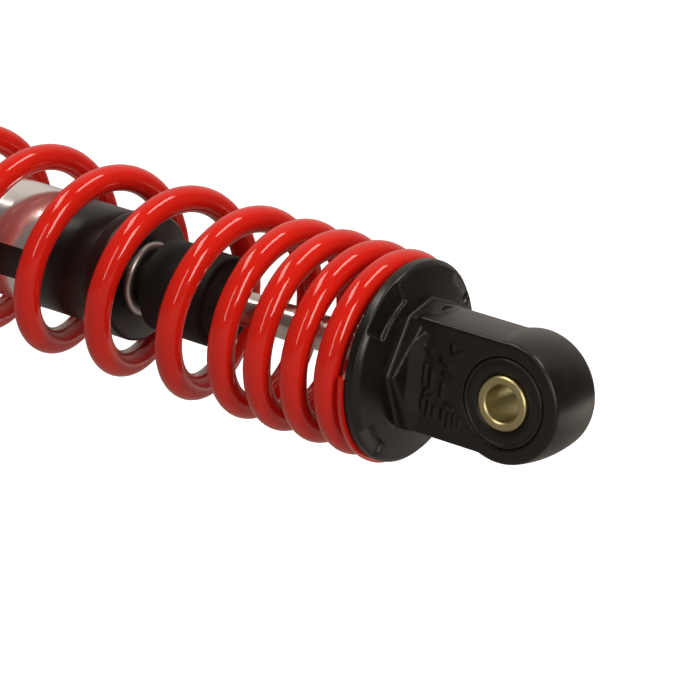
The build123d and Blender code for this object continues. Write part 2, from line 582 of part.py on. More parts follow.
# ---- rod and piston -----------------------------------------------------------------------------
def piston_rod():
    tip_r = ROD_TIP_D / 2
    return turned((ROD_TIP_X, 0), (ROD_TIP_X, tip_r - TIP_CHAMFER), (ROD_TIP_X + TIP_CHAMFER, tip_r),
                  (SHOULDER_X, tip_r), (SHOULDER_X, ROD_R), (ROD_END_X - THREAD_CHAMFER, ROD_R),
                  (ROD_END_X, ROD_R - THREAD_CHAMFER), (ROD_END_X, 0))


def piston():
    outer_r = CYLINDER_R - PISTON_GAP
    groove_r = band_inner_r() - SLIDE_FIT
    half_band = PISTON_BAND_WIDTH / 2 + SLIDE_FIT
    centre_x = (PISTON_BACK_X + PISTON_FRONT_X) / 2
    body = ring(PISTON_BACK_X, PISTON_FRONT_X, outer_r, ROD_TIP_D / 2 + STATIC_FIT)
    body -= ring(centre_x - half_band, centre_x + half_band, outer_r + 1, groove_r)
    circle_r, hole_r = (groove_r + ROD_TIP_D / 2) / 2, PISTON_HOLE_D / 2
    return body - holes_on_circle(PISTON_BACK_X, PISTON_FRONT_X, circle_r, hole_r, PISTON_HOLES)


def band_inner_r():
    return CYLINDER_R - SLIDE_FIT - PISTON_BAND_THICKNESS


def piston_band():
    centre_x = (PISTON_BACK_X + PISTON_FRONT_X) / 2
    half_band = PISTON_BAND_WIDTH / 2
    return ring(centre_x - half_band, centre_x + half_band, CYLINDER_R - SLIDE_FIT, band_inner_r())


def shim_stack(x, outer_d):
    bore_r = ROD_TIP_D / 2 + STATIC_FIT
    shim = [ring(x, x + SHIM_THICKNESS, outer_d / 2 - SHIM_STEP * i, bore_r) for i in range(SHIMS)]
    return [Pos(SHIM_THICKNESS * i, 0, 0) * shim[i] for i in range(SHIMS)]


def check_shims():
    """Largest shim on the piston face, smaller ones stacked towards the rod's shoulder."""
    return Compound(children=shim_stack(PISTON_FRONT_X, CHECK_SHIM_OD))


def rebound_shims():
    stack = Compound(children=shim_stack(0, REBOUND_SHIM_OD))
    return Pos(PISTON_BACK_X, 0, 0) * Rot(0, 180, 0) * stack


def rod_washer(x0):
    return ring(x0, x0 + WASHER_THICKNESS, WASHER_OD / 2, ROD_TIP_D / 2 + STATIC_FIT)


def stop_collar():
    return ring(COLLAR_BACK_X, COLLAR_FRONT_X, STOP_COLLAR_OD / 2, ROD_R + STATIC_FIT)


def rebound_cushion():
    x0, x1, r, bore_r = COLLAR_FRONT_X, CUSHION_FRONT_X, CUSHION_OD / 2, ROD_R + STATIC_FIT
    return turned((x0, bore_r), (x1, bore_r), (x1, r - CUSHION_BEVEL), (x1 - CUSHION_BEVEL, r),
                  (x0 + CUSHION_BEVEL, r), (x0, r - CUSHION_BEVEL))


def piston_nut():
    bore_r = ROD_TIP_D / 2 + STATIC_FIT
    return hex_nut(NUT_FACE_X - PISTON_NUT_LENGTH, NUT_FACE_X, PISTON_NUT_FLATS, bore_r)


def lock_nut():
    bore_r = ROD_R + STATIC_FIT
    return hex_nut(LOCK_NUT_FLOOR_X - LOCK_NUT_LENGTH, LOCK_NUT_FLOOR_X, LOCK_NUT_FLATS, bore_r)


# ---- write every piece --------------------------------------------------------------------------
def all_parts():
    return {
        "body_eye": body_eye(),
        "body_eye_bush": eye_bush(0),
        "body_eye_sleeve": eye_sleeve(0),
        "body_spring_seat": body_spring_seat(),
        "body_tube": body_tube(),
        "label_foil": label_foil(),
        "pressure_tube": pressure_tube(),
        "foot_valve_body": foot_valve_body(),
        "foot_valve_plate": foot_valve_plate(),
        "foot_valve_spring": foot_valve_spring(),
        "foot_valve_rivet": foot_valve_rivet(),
        "rod_guide": rod_guide(),
        "rod_guide_bush": rod_guide_bush(),
        "guide_o_ring": guide_o_ring(),
        "oil_seal": oil_seal(),
        "seal_garter_spring": seal_garter_spring(),
        "end_cap": end_cap(),
        "wiper_retainer": wiper_retainer(),
        "dust_wiper": dust_wiper(),
        "bump_stop": bump_stop(),
        "coil_spring": coil_spring(),
        "piston_rod": piston_rod(),
        "stop_collar": stop_collar(),
        "rebound_cushion": rebound_cushion(),
        "backing_washer": rod_washer(CHECK_SHIM_X),
        "check_shims": check_shims(),
        "piston": piston(),
        "piston_band": piston_band(),
        "rebound_shims": rebound_shims(),
        "nut_washer": rod_washer(NUT_FACE_X),
        "piston_nut": piston_nut(),
        "lock_nut": lock_nut(),
        "rod_eye": rod_eye(),
        "rod_eye_bush": eye_bush(EYE_TO_EYE),
        "rod_eye_sleeve": eye_sleeve(EYE_TO_EYE),
    }


os.makedirs("parts", exist_ok=True)
for name, solid in all_parts().items():
    export_step(solid, "parts/" + name + ".step")
print("tube", TUBE_START_X, "to", TUBE_END_X, "open pitch", round(wide_pitch(), 2))
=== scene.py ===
# %% [markdown]
# # A rear shock absorber
# A rear shock absorber is an oil damper inside a coil spring, with a rubber-bushed eye at each end that
# takes a bolt. A finished construction model gives every size and place, and this lesson dresses it: the
# spring, the two cast ends and the lips of the rubber get their real surfaces, and every piece gets a
# finish. The model is loaded first.

# %% Load the construction model
import bpy
import math
from mathutils import Matrix, Vector


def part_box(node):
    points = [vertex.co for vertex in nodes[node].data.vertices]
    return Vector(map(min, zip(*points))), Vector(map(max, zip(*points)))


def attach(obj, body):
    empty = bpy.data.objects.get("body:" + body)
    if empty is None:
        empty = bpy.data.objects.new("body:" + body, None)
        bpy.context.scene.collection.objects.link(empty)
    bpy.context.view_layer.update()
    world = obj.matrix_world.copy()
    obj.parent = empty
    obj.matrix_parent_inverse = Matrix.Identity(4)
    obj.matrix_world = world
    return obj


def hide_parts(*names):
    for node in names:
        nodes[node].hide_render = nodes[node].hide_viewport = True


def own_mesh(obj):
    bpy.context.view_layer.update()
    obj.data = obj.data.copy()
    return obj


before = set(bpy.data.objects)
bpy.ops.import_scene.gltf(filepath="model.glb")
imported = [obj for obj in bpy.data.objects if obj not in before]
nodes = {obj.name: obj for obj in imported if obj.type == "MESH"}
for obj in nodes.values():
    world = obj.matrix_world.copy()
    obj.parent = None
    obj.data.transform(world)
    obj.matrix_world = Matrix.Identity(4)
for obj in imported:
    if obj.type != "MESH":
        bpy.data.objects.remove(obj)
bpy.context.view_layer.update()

# %% [markdown]
# Everything is in metres, and +X runs along the shock from the body's eye to the rod's. Places are read
# from a node's box, not typed in, so what is added here sits on the model exactly.

# %% Read places from the model
MM = 0.001


def low(node):
    return Vector(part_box(node)[0])


def high(node):
    return Vector(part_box(node)[1])


def in_mm(length):
    return round(length / MM, 2)


body_seat = low("coil_spring").x
rod_seat = high("coil_spring").x
rod_eye_x = (low("rod_eye_bush").x + high("rod_eye_bush").x) / 2
print("bolt centres are", in_mm(rod_eye_x), "mm apart, and the spring fills", in_mm(rod_seat - body_seat))

# %% [markdown]
# ## The spring
# The real spring is one steel wire, wound left-handed. Its turns are wide apart round the damper and close
# together beside the rod end, which makes it stiffer the further it is pressed, and both ends are closed
# and ground flat. A coiling machine changes the pitch as it winds, so the pitch comes first here too. It is
# constant over some stretches and changes evenly in between. Only the pitch of the wide turns isn't known
# yet, because it depends on the length that the spring has to fill.

# %% The pitch of each turn
WIRE = 7.5 * MM
TURNS = 13.4
END_TURNS = 0.9                                   # closed turns at each end
CLOSE_FROM, CLOSE_TO, WIDE_FROM = 1.5, 3.9, 5.35  # turns from the rod end
BODY_RAMP = 0.7                                   # turns over which the wide pitch closes again
CLOSE_PITCH = 12.0 * MM
END_GAP = 0.1 * MM                                # between closed turns
END_PITCH = WIRE + END_GAP


def stations(wide):
    """(turns from the rod end, pitch) where the pitch starts or stops changing."""
    return [(0, END_PITCH), (END_TURNS, END_PITCH), (CLOSE_FROM, CLOSE_PITCH), (CLOSE_TO, CLOSE_PITCH),
            (WIDE_FROM, wide), (TURNS - END_TURNS - BODY_RAMP, wide), (TURNS - END_TURNS, END_PITCH),
            (TURNS, END_PITCH)]


print("the pitch changes at these turns:", [round(turn, 2) for turn, _ in stations(0)])

# %% [markdown]
# `advance` adds up the stretches, each at its mean pitch, and says how far the wire has come after any
# number of turns. The wire is wound a little past each seat, because grinding takes that off again. Two
# trial windings, with a wide pitch of nought and of one, then give the pitch that fills the length.

# %% The pitch that fills the length
TIP_OVERRUN = 0.8 * MM


def advance(turn, wide):
    """How far the wire has come along the axis after so many turns, and its pitch there."""
    distance = 0.0
    points = stations(wide)
    for (t0, p0), (t1, p1) in zip(points, points[1:]):
        if turn <= t1:
            pitch = p0 + (p1 - p0) * (turn - t0) / (t1 - t0)
            return distance + (turn - t0) * (p0 + pitch) / 2, pitch
        distance += (t1 - t0) * (p0 + p1) / 2
    return distance, points[-1][1]


wound = rod_seat - body_seat + 2 * TIP_OVERRUN
at_zero, at_one = advance(TURNS, 0)[0], advance(TURNS, 1)[0]
wide_pitch = (wound - at_zero) / (at_one - at_zero)
print("the wide turns have a pitch of", in_mm(wide_pitch), "mm")

# %% [markdown]
# The wire could be a curve with a round bevel, but a curve can't be ground. A circle wound by the Screw
# modifier gives even rings of faces instead. Operators act on all that is selected, so `only` deselects
# everything first and then picks one object, and `place_in_mesh` moves an object's place into its mesh,
# because each finished piece has its origin at the body's eye.

# %% A circle with the section of the wire
WIRE_SIDES = 28
wire_ring = (high("coil_spring").z - low("coil_spring").z - WIRE) / 2


def only(obj):
    bpy.ops.object.select_all(action="DESELECT")
    obj.select_set(True)
    bpy.context.view_layer.objects.active = obj


def place_in_mesh(obj):
    only(obj)
    bpy.ops.object.transform_apply(location=True, rotation=True, scale=True)


def new_primitive(kind, name, **settings):
    """Adds a mesh primitive by its operator, with nothing else selected, and names it."""
    bpy.ops.object.select_all(action="DESELECT")
    getattr(bpy.ops.mesh, "primitive_" + kind + "_add")(**settings)
    obj = bpy.context.object
    obj.name = obj.data.name = name
    return obj


spring = new_primitive("circle", "spring_wire", vertices=WIRE_SIDES, radius=WIRE / 2,
                       location=(0, -wire_ring, 0))
place_in_mesh(spring)
print("the middle of the wire runs at a radius of", in_mm(wire_ring), "mm")

# %% [markdown]
# The circle is first wound at one even pitch, so open that its turns can't touch. It turns forwards round X
# while it moves backwards along X, which makes the winding left-handed.

# %% Wind the wire evenly
RINGS_PER_TURN = 72
START_PITCH = 2 * WIRE


def add_modifier(obj, kind, **settings):
    modifier = obj.modifiers.new(kind.title(), kind)
    for key, value in settings.items():
        setattr(modifier, key, value)
    return modifier


def apply_modifiers(obj):
    only(obj)
    for modifier in list(obj.modifiers):
        bpy.ops.object.modifier_apply(modifier=modifier.name)


winding_steps = round(RINGS_PER_TURN * TURNS)
add_modifier(spring, "SCREW", axis="X", angle=2 * math.pi * TURNS, screw_offset=-START_PITCH * TURNS,
             steps=winding_steps, render_steps=winding_steps, use_merge_vertices=False,
             use_smooth_shade=True)
apply_modifiers(spring)
rings = len(spring.data.vertices) // WIRE_SIDES
print("wound", rings, "rings of", WIRE_SIDES, "points")

# %% [markdown]
# The number of a ring says how many turns it is from the start, so each ring now slides along the axis to
# where the real pitch puts it. A ring stands upright while the wire leans, and cuts the wire at a slant. So
# it is also drawn out along X, the more the wire leans, which keeps the wire round.

# %% Slide the rings to their real pitch
def slide_rings(mesh):
    for vertex in mesh.vertices:
        turn = TURNS * (vertex.index // WIRE_SIDES) / (rings - 1)
        distance, pitch = advance(turn, wide_pitch)
        across = vertex.co.x + START_PITCH * turn
        lean = math.hypot(1.0, pitch / (2 * math.pi * wire_ring))
        vertex.co.x = rod_seat + TIP_OVERRUN - distance + across * lean


slide_rings(spring.data)
wire_x = [vertex.co.x for vertex in spring.data.vertices]
print("the wire runs from", in_mm(min(wire_x)), "to", in_mm(max(wire_x)), "mm")

# %% [markdown]
# The Screw modifier leaves both ends of the wire open. They are filled, and then everything past the two
# seat planes is cut away, as a grinding wheel would. What is left of the last half turn is the thin flat
# tail that lies on each seat. Shading by angle keeps the ground edge crisp and the wire smooth.

# %% Close and grind the ends
CRISP_ANGLE = math.radians(35)


def fill_open_ends(obj):
    only(obj)
    bpy.ops.object.mode_set(mode="EDIT")
    bpy.ops.mesh.select_mode(type="EDGE")
    bpy.ops.mesh.select_all(action="DESELECT")
    bpy.ops.mesh.select_non_manifold(extend=False)
    bpy.ops.mesh.edge_face_add()
    bpy.ops.mesh.select_all(action="SELECT")
    bpy.ops.mesh.normals_make_consistent(inside=False)
    bpy.ops.object.mode_set(mode="OBJECT")


def grind(obj, place, direction):
    """Cuts off all that lies past a plane, in the plane's direction, and closes the cut."""
    only(obj)
    bpy.ops.object.mode_set(mode="EDIT")
    bpy.ops.mesh.select_all(action="SELECT")
    bpy.ops.mesh.bisect(plane_co=place, plane_no=direction, use_fill=True, clear_outer=True)
    bpy.ops.object.mode_set(mode="OBJECT")


def triangles(obj):
    return sum(len(polygon.vertices) - 2 for polygon in obj.data.polygons)


fill_open_ends(spring)
grind(spring, (rod_seat, 0, 0), (1, 0, 0))
grind(spring, (body_seat, 0, 0), (-1, 0, 0))
only(spring)
bpy.ops.object.shade_smooth_by_angle(angle=CRISP_ANGLE)
print("the ground spring has", triangles(spring), "triangles")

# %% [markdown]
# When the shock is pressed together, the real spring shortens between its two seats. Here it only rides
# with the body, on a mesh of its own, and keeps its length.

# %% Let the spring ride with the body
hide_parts("coil_spring")
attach(spring, "damper_body")
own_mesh(spring)

# %% [markdown]
# ## The two castings
# Each end of the shock is a die casting in thick gloss paint. Its edges are never sharp: the metal has
# draft and fillets, and the paint rounds what is left. The model has the right shape with crisp edges.
# They could be bevelled one by one, but many meet at odd angles, where a bevel tangles. A fine voxel remesh
# with a little smoothing rounds them all alike, as paint does. It needs a closed mesh, and the model's
# faces are loose triangles, so it starts from a merged copy.

# %% Copy a casting and merge its points
MERGE = 0.001 * MM
SLEEVE_STANDOUT = 0.7 * MM
eye_face = high("rod_eye_sleeve").y - SLEEVE_STANDOUT


def merged_copy(node, name):
    obj = bpy.data.objects.new(name, nodes[node].data.copy())
    bpy.context.scene.collection.objects.link(obj)
    only(obj)
    bpy.ops.object.mode_set(mode="EDIT")
    bpy.ops.mesh.select_all(action="SELECT")
    bpy.ops.mesh.remove_doubles(threshold=MERGE)
    bpy.ops.mesh.normals_make_consistent(inside=False)
    bpy.ops.object.mode_set(mode="OBJECT")
    return obj


print("the faces of each eye lie", in_mm(eye_face), "mm from the middle")

# %% [markdown]
# A foundry casts raised marks into the side of the neck. Here they are plain short bars and arcs that say
# nothing. A bar is a cube at its size and place, bevelled all round, because cast metal has no sharp edge.
# It lies half sunk in the neck, so that no gap is left under it.

# %% A raised bar
BAR_DEPTH, BAR_WIDTH, BAR_BEVEL = 0.8 * MM, 0.75 * MM, 0.25 * MM


def raised_bar(x, z, length_mm, turn):
    """A bar on the near face of the eye. At turn 0 it lies along X."""
    bar = new_primitive("cube", "bar", size=1, location=(x * MM, -eye_face, z * MM),
                        rotation=(0, math.radians(turn), 0), scale=(length_mm * MM, BAR_DEPTH, BAR_WIDTH))
    place_in_mesh(bar)
    add_modifier(bar, "BEVEL", width=BAR_BEVEL, segments=2)
    apply_modifiers(bar)
    return bar


print("a bar is", in_mm(BAR_WIDTH), "mm wide and stands", in_mm(BAR_DEPTH / 2), "mm proud of the neck")

# %% [markdown]
# An arc is a small disc, spun part of the way round. It is spun lying flat about the origin, where the
# spin is easy to set, and only then stood up and moved into place on the neck.

# %% A raised arc
ARC_RADIUS, ARC_SIDES, ARC_STEPS = 0.42 * MM, 10, 14


def raised_arc(x, z, radius, start, sweep):
    """Part of a ring on the near face. Angles are in degrees, from +X towards +Z."""
    arc = new_primitive("circle", "arc", vertices=ARC_SIDES, radius=ARC_RADIUS, fill_type="NGON",
                        location=(radius * MM, 0, 0), rotation=(math.pi / 2, 0, 0))
    place_in_mesh(arc)
    only(arc)
    bpy.ops.object.mode_set(mode="EDIT")
    bpy.ops.mesh.select_all(action="SELECT")
    bpy.ops.mesh.spin(steps=ARC_STEPS, angle=math.radians(sweep), center=(0, 0, 0), axis=(0, 0, 1))
    bpy.ops.mesh.select_all(action="SELECT")
    bpy.ops.mesh.normals_make_consistent(inside=False)
    bpy.ops.object.mode_set(mode="OBJECT")
    arc.rotation_euler = (math.pi / 2, math.radians(-start), 0)
    arc.location = (x * MM, -eye_face, z * MM)
    place_in_mesh(arc)
    return arc


print("an arc stands", in_mm(ARC_RADIUS), "mm proud of the neck")

# %% [markdown]
# The marks lie along the neck, between the eye and the foot. The two castings point opposite ways, so
# `away` turns the layout round for the second one.

# %% Lay out the marks
BARS = (  # along the shock and up from the bore in mm, length in mm, turn in degrees
    (-24.9, 1.4, 6.4, 90), (-22.6, 1.0, 4.6, 90), (-18.6, 6.0, 3.8, 28), (-17.2, 2.4, 4.4, 24),
    (-18.9, -1.6, 4.2, 90), (-24.6, -6.6, 3.8, 90), (-22.6, -7.4, 4.4, 90), (-20.8, -8.2, 3.6, 90),
    (-17.9, -8.2, 3.6, 90), (-16.1, -9.4, 4.6, 90), (-14.3, -9.4, 4.6, 90), (-12.7, -9.6, 3.4, 90),
    (-16.2, -5.4, 3.2, 24))
ARCS = (  # along the shock and up from the bore in mm, radius in mm, start and sweep in degrees
    (-23.8, 10.4, 2.3, -70, 160), (-15.6, 10.6, 1.5, -20, 200), (-23.2, -3.6, 1.1, 0, 300))


def foundry_marks(bore_x, away):
    bore = bore_x / MM
    marks = [raised_bar(bore + away * x, z, length_mm, away * turn) for x, z, length_mm, turn in BARS]
    return marks + [raised_arc(bore + away * x, z, *arc) for x, z, *arc in ARCS]


print("each neck carries", len(BARS), "bars and", len(ARCS), "arcs")

# %% [markdown]
# The marks are joined to the copy one by one. Then the remesh and the smoothing melt it all into one skin,
# which is how a painted casting looks. The voxel is the size of the smallest round that the paint leaves.

# %% Melt each casting into one painted skin
VOXEL = 0.42 * MM
MELT, MELT_ROUNDS = 0.5, 3


def join_to(obj, pieces):
    for piece in pieces:
        only(obj)
        boolean = add_modifier(obj, "BOOLEAN", operation="UNION", object=piece, solver="EXACT")
        bpy.ops.object.modifier_apply(modifier=boolean.name)
        bpy.data.objects.remove(piece)


def painted_casting(node, name, marks, body):
    casting = merged_copy(node, name)
    join_to(casting, marks)
    add_modifier(casting, "REMESH", mode="VOXEL", voxel_size=VOXEL, use_smooth_shade=True)
    add_modifier(casting, "SMOOTH", factor=MELT, iterations=MELT_ROUNDS)
    apply_modifiers(casting)
    bpy.ops.object.shade_smooth()
    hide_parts(node)
    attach(casting, body)
    print(name, "has", triangles(casting), "triangles")


painted_casting("rod_eye", "rod_eye_casting", foundry_marks(rod_eye_x, 1), "rod_assembly")
painted_casting("body_eye", "body_eye_casting", foundry_marks(0, -1), "damper_body")

# %% [markdown]
# ## The bush lips
# The rubber is pressed in, which makes it swell over the edge of its bore, so each face of a bush ends in a
# low round lip. A ready-made torus would be too round. Its section is a circle here, flattened a little in
# edit mode and then taken once round the bore by the Screw modifier, without a climb. Spin makes the same
# ring, but lists its faces in another order on every run. The arcs can bear that, as the remesh makes them
# anew, while a lip has to come out the same each time.

# %% Turn one lip
LIP_WIDTH = 1.2 * MM
LIP_SIDES, LIP_STEPS = 14, 120
LIP_FLATNESS = 0.9
LIP_INSET = 0.75 * MM  # from the edge of the rubber to the middle of the lip
LIP_SINK = 0.2 * MM
lip_ring = (high("rod_eye_bush").x - low("rod_eye_bush").x) / 2 - LIP_INSET
lip_y = eye_face - LIP_SINK


def first_lip(name):
    """A lip round the bore of the body's eye, on its near face."""
    lip = new_primitive("circle", name, vertices=LIP_SIDES, radius=LIP_WIDTH / 2,
                        location=(lip_ring, -lip_y, 0))
    place_in_mesh(lip)
    only(lip)
    bpy.ops.object.mode_set(mode="EDIT")
    bpy.ops.mesh.select_all(action="SELECT")
    bpy.ops.transform.resize(value=(1, LIP_FLATNESS, 1))
    bpy.ops.object.mode_set(mode="OBJECT")
    add_modifier(lip, "SCREW", axis="Y", angle=2 * math.pi, steps=LIP_STEPS, render_steps=LIP_STEPS,
                 use_merge_vertices=True, merge_threshold=MERGE, use_smooth_shade=True)
    apply_modifiers(lip)
    bpy.ops.object.mode_set(mode="EDIT")
    bpy.ops.mesh.select_all(action="SELECT")
    bpy.ops.mesh.normals_make_consistent(inside=False)
    bpy.ops.object.mode_set(mode="OBJECT")
    return lip


body_near = first_lip("body_lip_near")
print("a lip has", triangles(body_near), "triangles and a radius of", in_mm(lip_ring), "mm")

# %% [markdown]
# The other three lips are copies, each with its own mesh. Each rides with the casting whose rubber it is
# part of, so it stays still while the steel sleeve twists inside it.

# %% Copy it to the other faces
def copy_lip(name, bore_x, shift_y):
    twin = body_near.copy()
    twin.data = body_near.data.copy()
    twin.name = twin.data.name = name
    bpy.context.scene.collection.objects.link(twin)
    twin.location = (bore_x, shift_y, 0)
    place_in_mesh(twin)
    return twin


far_y = 2 * lip_y
body_lips = [body_near, copy_lip("body_lip_far", 0, far_y)]
rod_lips = [copy_lip("rod_lip_near", rod_eye_x, 0), copy_lip("rod_lip_far", rod_eye_x, far_y)]
for lips, body in ((body_lips, "damper_body"), (rod_lips, "rod_assembly")):
    for lip in lips:
        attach(lip, body)
lip_names = [lip.name for lip in body_lips + rod_lips]
print("lips:", ", ".join(lip_names))

# %% [markdown]
# ## Finishes
# Every finish is a small node tree on one Principled shader. Its colours are written as hex values, as on a
# paint maker's card, and `srgb` turns them into the linear values that the shader wants. `add` makes one
# node, with its settings and its links.

# %% Colours and nodes
def srgb(text):
    channels = [int(text[i:i + 2], 16) / 255 for i in (1, 3, 5)]
    return tuple(c / 12.92 if c <= 0.04045 else ((c + 0.055) / 1.055) ** 2.4 for c in channels) + (1.0,)


def fill(node, inputs):
    """Sets inputs by name. A value is stored, and another node's socket is linked."""
    for key, value in inputs.items():
        if isinstance(value, bpy.types.NodeSocket):
            node.id_data.links.new(value, node.inputs[key])
        else:
            node.inputs[key].default_value = value


def add(tree, kind, inputs=None, **settings):
    made = tree.nodes.new("ShaderNode" + kind)
    for key, value in settings.items():
        setattr(made, key, value)
    fill(made, inputs or {})
    return made


print("mid grey in linear values:", [round(value, 3) for value in srgb("#808080")[:3]])

# %% [markdown]
# A finish starts from a blank: one shader, with the values that are the same all over, and Object
# coordinates for the patterns. Those are metres, so the scale of a pattern is one over its real size in
# metres. `uneven` is a pattern that most finishes share, because no real coat has one tone all over.

# %% A blank finish and its patterns
COAT_IOR = 1.5  # of paint, powder coat and rubber


def per_mm(size_mm):
    """Scale of a pattern whose features are this many millimetres across."""
    return 1000.0 / size_mm


def new_finish(name, surface):
    material = bpy.data.materials.new(name)
    material.use_nodes = True
    tree = material.node_tree
    shader = tree.nodes["Principled BSDF"]
    fill(shader, surface)
    return material, tree, shader, add(tree, "TexCoord").outputs["Object"]


def uneven(tree, place, size_mm, dark, pale, start=0.3, end=0.7):
    """A colour that drifts between two tones in blotches of this size, and the noise that drives it."""
    noise = add(tree, "TexNoise", {"Vector": place, "Scale": per_mm(size_mm), "Detail": 2.0}).outputs["Fac"]
    share = add(tree, "MapRange", {"Value": noise, "From Min": start, "From Max": end}).outputs["Result"]
    tone = add(tree, "MixRGB", {"Fac": share, "Color1": srgb(dark), "Color2": srgb(pale)})
    return tone.outputs["Color"], noise


def dress(material, *names):
    """Puts a finish on every slot of the pieces and nodes with these names."""
    for name in names:
        obj = nodes[name] if name in nodes else bpy.data.objects[name]
        if not obj.material_slots:
            obj.data.materials.append(None)
        for material_slot in obj.material_slots:
            material_slot.material = material
    print(material.name, "on", ", ".join(names))


print("a pattern 1 mm across has a scale of", per_mm(1))

# %% [markdown]
# ### Gloss red powder coat on spring steel
# Powder melts and flows in the oven, so it is thick, even and glossy. The eye gets a deep red with narrow,
# sharp lines of light along each turn. A soft orange peel about 1.6 mm across makes those lines waver, and
# the coat pools a little, so its red is not quite even. The peel could be modelled, but it is only
# hundredths of a millimetre deep, so a bump is enough.

# %% Powder coat
def red_powder_coat():
    surface = {"Roughness": 0.08, "IOR": COAT_IOR, "Specular IOR Level": 0.42}
    material, tree, shader, place = new_finish("red_powder_coat_on_spring_steel", surface)
    red, _ = uneven(tree, place, 22, "#CB1D12", "#D32013", 0.35, 0.68)
    peel = add(tree, "TexNoise", {"Vector": place, "Scale": per_mm(1.6), "Detail": 2.0})
    bump = add(tree, "Bump", {"Height": peel.outputs["Fac"], "Strength": 0.08, "Distance": 0.1 * MM})
    fill(shader, {"Base Color": red, "Normal": bump.outputs["Normal"]})
    return material


dress(red_powder_coat(), "spring_wire")

# %% [markdown]
# ### Gloss black paint on the die castings
# The castings are blasted and then sprayed. The skin of the metal shows through the paint as a fine grain
# and slow waves. The eye gets a near black whose highlights are soft, drift between gloss and satin, and
# break up a little instead of running clean. Each could have a noise of its own, but paint is duller and
# paler where it lies thin, so one noise drives the waves, the tone and the gloss together.

# %% Paint on the castings
def black_casting_paint():
    surface = {"IOR": COAT_IOR, "Specular IOR Level": 0.4}
    material, tree, shader, place = new_finish("gloss_black_paint_on_die_casting", surface)
    black, wave = uneven(tree, place, 5, "#0E0D0D", "#141312")
    grain = add(tree, "TexNoise", {"Vector": place, "Scale": per_mm(0.9), "Detail": 3.0})
    height = add(tree, "Math", {0: grain.outputs["Fac"], 1: wave}, operation="ADD")
    bump = add(tree, "Bump", {"Height": height.outputs["Value"], "Strength": 0.1, "Distance": 0.15 * MM})
    gloss = add(tree, "MapRange", {"Value": wave, "To Min": 0.24, "To Max": 0.38})
    fill(shader, {"Base Color": black, "Roughness": gloss.outputs["Result"],
                  "Normal": bump.outputs["Normal"]})
    return material


dress(black_casting_paint(), "rod_eye_casting", "body_eye_casting")

# %% [markdown]
# ### Satin black enamel on pressed and drawn steel
# The tube, its cap and the body's spring seat are smooth steel under a thin baked enamel. The eye gets one
# broad soft band of light along the tube. The paint of the castings would do from far off, but it is
# lumpier and glossier, so the steel gets a finish of its own, with only a fine peel.

# %% Enamel on the tube
def black_enamel():
    surface = {"Roughness": 0.37, "IOR": COAT_IOR, "Specular IOR Level": 0.45}
    material, tree, shader, place = new_finish("satin_black_enamel_on_steel", surface)
    black, _ = uneven(tree, place, 14, "#0D0C0C", "#131212")
    peel = add(tree, "TexNoise", {"Vector": place, "Scale": per_mm(1.1), "Detail": 2.0})
    bump = add(tree, "Bump", {"Height": peel.outputs["Fac"], "Strength": 0.1, "Distance": 0.1 * MM})
    fill(shader, {"Base Color": black, "Normal": bump.outputs["Normal"]})
    return material


dress(black_enamel(), "body_tube", "end_cap", "body_spring_seat")

# %% [markdown]
# ### Bright metallised foil
# The foil round the tube is clear film with a bright metal layer, stuck down by hand. The eye gets a
# mirror that shows the red turns of the spring. It could be a perfect one with no pattern, but that looks
# like a chromed tube. The glue under real foil leaves shallow wrinkles, which bend what it shows.

# %% Foil round the tube
def mirror_foil():
    surface = {"Base Color": srgb("#EFEFF0"), "Metallic": 0.9, "Roughness": 0.18}
    material, tree, shader, place = new_finish("bright_metallised_foil", surface)
    wrinkle = add(tree, "TexNoise", {"Vector": place, "Scale": per_mm(7), "Detail": 3.0})
    bump = add(tree, "Bump", {"Height": wrinkle.outputs["Fac"], "Strength": 0.15, "Distance": 0.2 * MM})
    fill(shader, {"Normal": bump.outputs["Normal"]})
    return material


dress(mirror_foil(), "label_foil")

# %% [markdown]
# ### Moulded rubber and polymer
# Rubber is black with soot all through, and it copies the grain of its mould. Wax comes to its surface and
# leaves paler patches. The eye gets the darkest and dullest pieces of the shock: the bump stop hardly
# shines, the bushes have the sheen of a polished mould, and the seals, which run in oil, lie in between.
# The piston's band is a filled polymer, brown and nearly as dull. They differ only in tone, grain and
# shine, so one function makes them all.

# %% Rubber pieces and the piston's band
def moulded(name, dark, pale, grain_mm, roughness):
    surface = {"Roughness": roughness, "IOR": COAT_IOR, "Specular IOR Level": 0.3}
    material, tree, shader, place = new_finish(name, surface)
    tone, _ = uneven(tree, place, 6, dark, pale, 0.35, 0.7)
    grain = add(tree, "TexNoise", {"Vector": place, "Scale": per_mm(grain_mm), "Detail": 4.0})
    bump = add(tree, "Bump", {"Height": grain.outputs["Fac"], "Strength": 0.25, "Distance": 0.08 * MM})
    fill(shader, {"Base Color": tone, "Normal": bump.outputs["Normal"]})
    return material


dress(moulded("moulded_rubber_bump_stop", "#0A0A09", "#0F0F0D", 0.5, 0.6), "bump_stop")
dress(moulded("moulded_rubber_bush", "#171514", "#1F1C1B", 0.6, 0.36),
      "rod_eye_bush", "body_eye_bush", *lip_names)
dress(moulded("nitrile_seal_rubber", "#141414", "#1B1B1B", 0.4, 0.4),
      "guide_o_ring", "oil_seal", "dust_wiper", "rebound_cushion")
dress(moulded("filled_polymer_band", "#4A3524", "#58402C", 0.6, 0.5), "piston_band")

# %% [markdown]
# ### Bare and plated metals
# A turned or ground metal keeps fine lines from its last cut, which run round the shock's axis. An
# anisotropic shader could draw out the highlights without them, but it shows no lines up close. So a noise
# is drawn out across X and makes such lines. On the eye sleeves, whose axis lies across, they run
# lengthwise, as on drawn tube. Real lines are some ten times finer and wouldn't show, so these are drawn as
# coarse as they need to be.

# %% One function for bare metal
LINE_STRETCH = (1.0, 0.12, 0.12)


